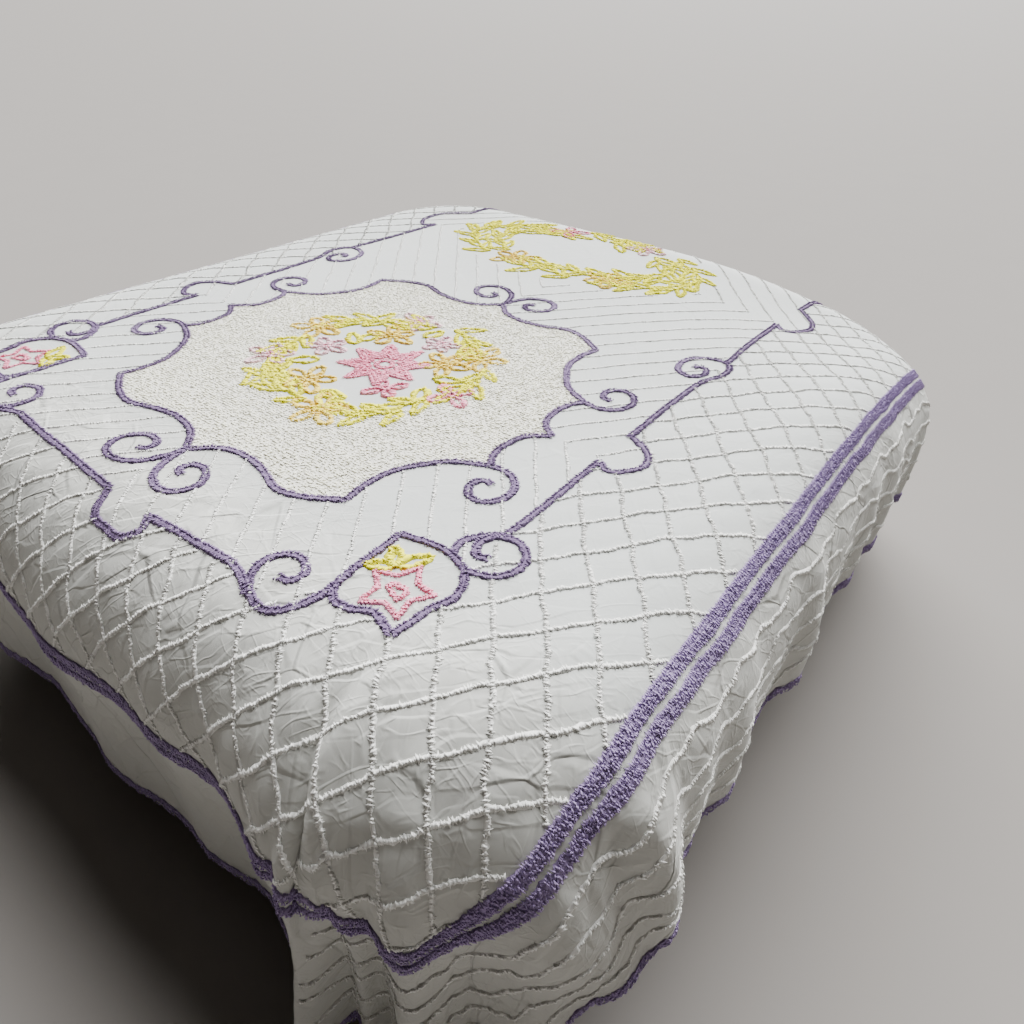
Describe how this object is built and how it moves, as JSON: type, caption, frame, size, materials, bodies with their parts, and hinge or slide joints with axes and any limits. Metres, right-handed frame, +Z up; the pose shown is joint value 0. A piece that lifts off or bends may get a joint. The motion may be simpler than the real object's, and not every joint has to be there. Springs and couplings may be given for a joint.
{
  "type": "chenille bedspread on a bed",
  "caption": "Tufted chenille bedspread draped over a plain bed, falling in soft folds on all sides above a plain mattress and base.",
  "frame": {"origin": "bottom centre of the bounding box, on the floor", "axes": "+Z up, the foot of the bed towards -Y and its head towards +Y, +X across the bed"},
  "size_m": [2.1066, 2.2434, 0.7031],
  "materials": {
    "spread_cotton": "matt",
    "ticking": "matt",
    "base_cover": "matt"
  },
  "bodies": {
    "root": {"bedspread": "spread_cotton", "mattress": "ticking", "bed_base": "base_cover"}
  },
  "joints": []
}
